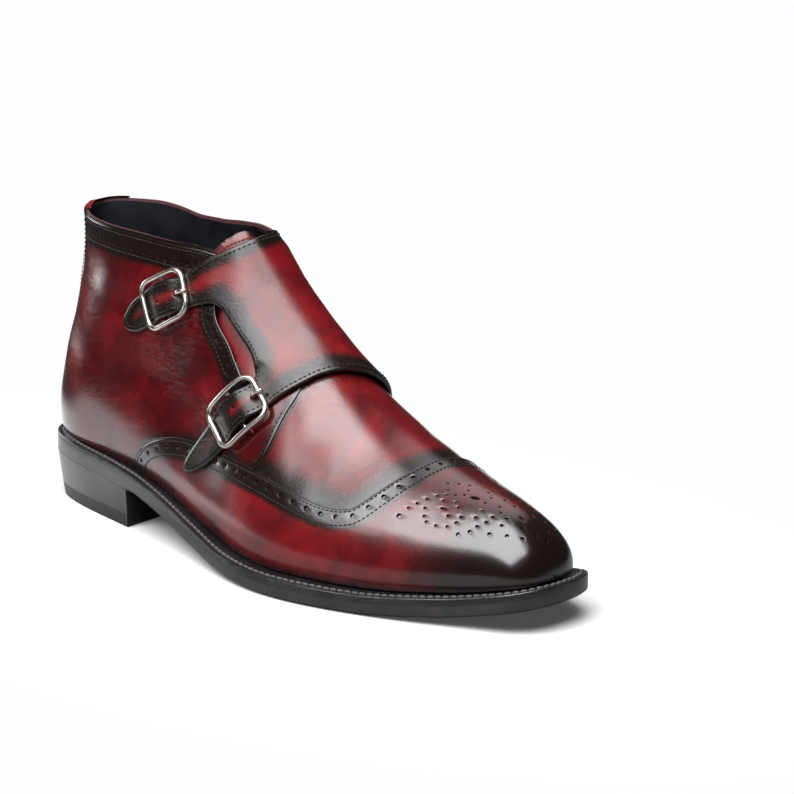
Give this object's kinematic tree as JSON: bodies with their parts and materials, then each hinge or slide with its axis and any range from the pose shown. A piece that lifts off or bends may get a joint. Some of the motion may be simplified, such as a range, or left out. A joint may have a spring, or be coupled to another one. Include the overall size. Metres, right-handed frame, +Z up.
{
  "type": "double monk strap boot",
  "caption": "Ankle-high leather dress boot closed by a wide flap with buckled straps on the outer side, welted sole and low block heel.",
  "frame": {"origin": "middle of the footprint on the floor", "axes": "+X from heel to toe, +Y to the inner (medial) side of the foot, +Z up"},
  "size_m": [0.3081, 0.1057, 0.1379],
  "materials": {
    "burgundy_leather": "polished, burnished dark along edges and toe",
    "lining_leather": "matt black lining",
    "welt_leather": "satin black, stitched",
    "sole_leather": "satin black edge dressing",
    "heel_rubber": "satin black",
    "buckle_steel": "polished nickel-plated steel"
  },
  "bodies": {
    "root": {"upper": "burgundy_leather", "tongue": "burgundy_leather", "monk_strap": "burgundy_leather", "insole": "lining_leather", "welt": "welt_leather", "outsole": "sole_leather", "heel_stack": "sole_leather", "top_lift": "heel_rubber", "buckle_upper": "buckle_steel", "buckle_lower": "buckle_steel", "prong_upper": "buckle_steel", "prong_lower": "buckle_steel"}
  },
  "joints": []
}
